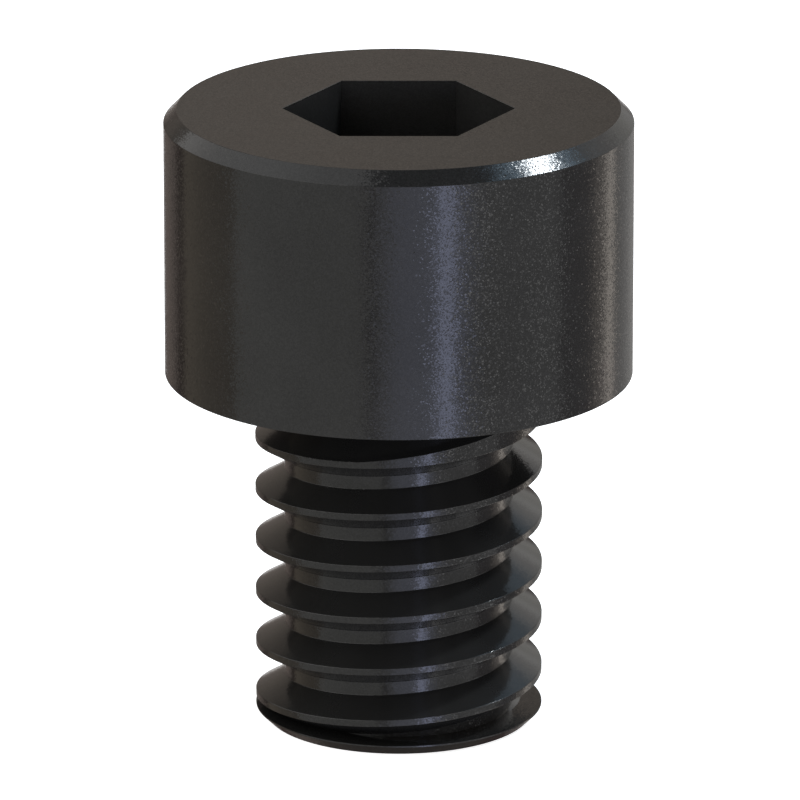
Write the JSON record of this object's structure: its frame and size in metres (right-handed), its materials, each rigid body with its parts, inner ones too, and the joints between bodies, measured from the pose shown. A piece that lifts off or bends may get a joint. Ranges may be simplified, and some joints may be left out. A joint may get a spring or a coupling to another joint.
{
  "type": "socket head screw",
  "caption": "Short socket head screw: plain round head with a hexagonal socket and a fully threaded shank with a flat bevelled tip.",
  "frame": {"origin": "centre of the flat tip, on the screw's axis", "axes": "+Z along the screw's axis from the tip to the head; +X through a corner of the hexagonal socket"},
  "size_m": [0.013, 0.013, 0.0176],
  "materials": {
    "black_oxide": "satin black oxide on steel"
  },
  "bodies": {
    "root": {"screw": "black_oxide"}
  },
  "joints": []
}
